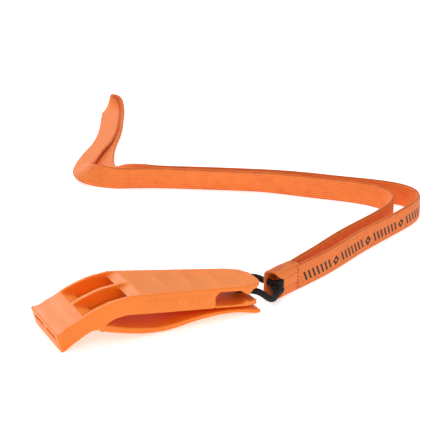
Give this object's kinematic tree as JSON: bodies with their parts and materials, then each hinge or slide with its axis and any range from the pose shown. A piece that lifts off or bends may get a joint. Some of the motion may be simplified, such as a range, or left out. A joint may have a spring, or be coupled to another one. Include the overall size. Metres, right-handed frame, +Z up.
{
  "type": "safety whistle with neck lanyard",
  "caption": "Pealess safety whistle with side-by-side sound chambers, a springy belt clip, a thin braided cord loop at its tail and a flat webbing neck strap.",
  "frame": {"origin": "on the table, under the middle of the whistle's box, without the lanyard", "axes": "+X from the mouthpiece to the tail, +Y to the far side, +Z up"},
  "size_m": [0.1723, 0.2672, 0.0146],
  "materials": {
    "shell_plastic": "moulded, semi-gloss",
    "clip_plastic": "moulded, semi-gloss",
    "black_cord": "braided nylon",
    "webbing": "ribbed woven polyester",
    "thread": "polyester thread"
  },
  "bodies": {
    "whistle": {"upper_shell": "shell_plastic", "lower_shell": "shell_plastic"},
    "clip": {"belt_clip": "clip_plastic"},
    "lanyard": {"cord_loop": "black_cord", "cord_knot": "black_cord", "strap_end_sleeve": "webbing", "bar_tack": "thread", "neck_strap": "webbing"}
  },
  "joints": [
    {"name": "clip_flex", "type": "hinge", "parent": "whistle", "child": "clip", "pos_m": [-0.0209, 0, 0.00555], "axis": [0, 1, 0], "range_deg": [0, 5], "stiffness_Nm_per_rad": 0.7},
    {"name": "lanyard_swing", "type": "hinge", "parent": "whistle", "child": "lanyard", "pos_m": [0.031, 0, 0.0065], "axis": [0, 0, 1], "range_deg": [-6, 6]}
  ]
}
